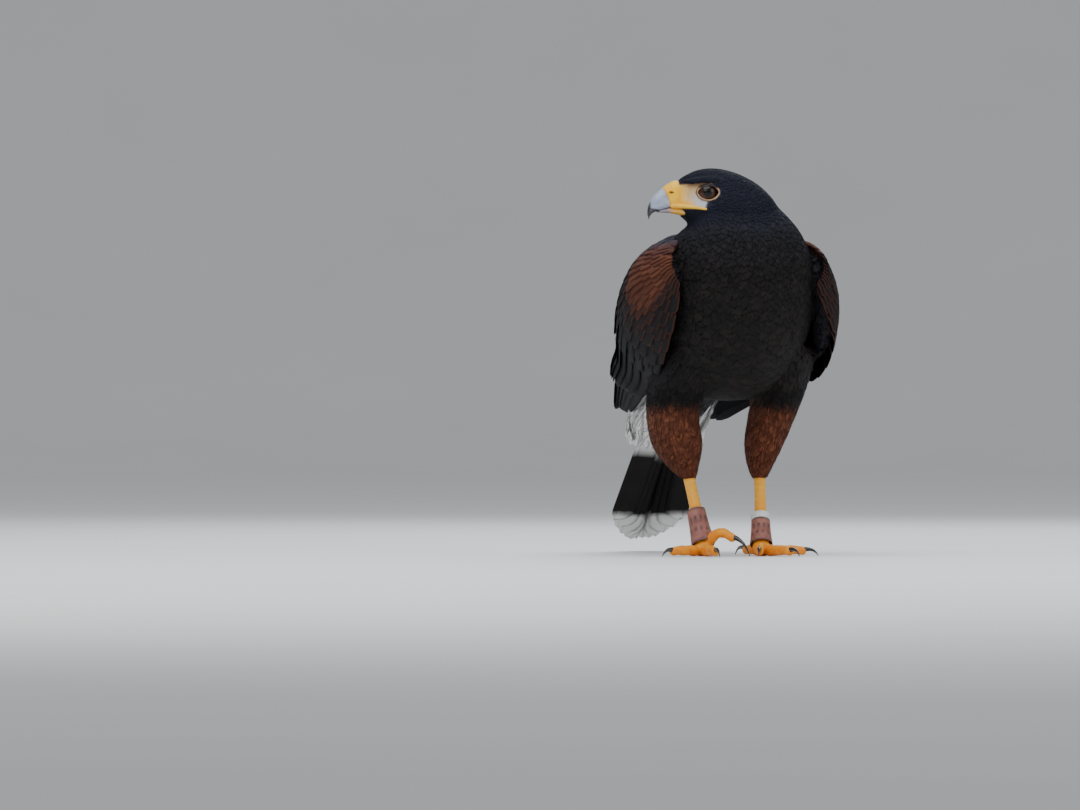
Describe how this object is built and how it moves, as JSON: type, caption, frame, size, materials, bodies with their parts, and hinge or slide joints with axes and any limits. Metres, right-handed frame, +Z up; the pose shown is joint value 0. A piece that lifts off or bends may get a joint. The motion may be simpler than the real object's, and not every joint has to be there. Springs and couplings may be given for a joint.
{
  "type": "harris's hawk",
  "caption": "Life-size still model of a standing dark hawk with chestnut shoulders and thighs, folded wings, white-tipped tail, hooked bill, taloned feet, leather anklets and a leg ring.",
  "frame": {"origin": "middle of the bounding box at floor level, under the bird", "axes": "+Z up, the bird's body faces -Y, its left side is towards +X"},
  "size_m": [0.1984, 0.3746, 0.3377],
  "materials": {
    "plumage_dark": "soft dark brown-black feathers",
    "plumage_head": "soft slate-black feathers",
    "plumage_chestnut": "soft chestnut feathers",
    "tail_feathers": "black feathers with a white base and a white tip",
    "skin_yellow": "waxy bare skin and scutes",
    "horn_grey": "smooth horn",
    "claw_black": "polished horn",
    "eye_wet": "wet eye, brown iris",
    "hide": "worn brown-pink leather",
    "ring_white": "plain pale ring"
  },
  "bodies": {
    "root": {"head": "plumage_head", "cere": "skin_yellow", "bill_upper": "horn_grey", "bill_lower": "horn_grey", "eye_left": "eye_wet", "eye_right": "eye_wet", "neck": "plumage_head", "torso": "plumage_dark", "tail": "tail_feathers", "wing_right": "plumage_dark", "wing_left": "plumage_dark", "thigh_right": "plumage_chestnut", "shank_right": "skin_yellow", "foot_right": "skin_yellow", "toe_inner_right": "skin_yellow", "claw_inner_right": "claw_black", "toe_middle_right": "skin_yellow", "claw_middle_right": "claw_black", "toe_outer_right": "skin_yellow", "claw_outer_right": "claw_black", "toe_hind_right": "skin_yellow", "claw_hind_right": "claw_black", "anklet_right": "hide", "thigh_left": "plumage_chestnut", "shank_left": "skin_yellow", "foot_left": "skin_yellow", "toe_inner_left": "skin_yellow", "claw_inner_left": "claw_black", "toe_middle_left": "skin_yellow", "claw_middle_left": "claw_black", "toe_outer_left": "skin_yellow", "claw_outer_left": "claw_black", "toe_hind_left": "skin_yellow", "claw_hind_left": "claw_black", "anklet_left": "hide", "leg_ring_left": "ring_white"}
  },
  "joints": []
}
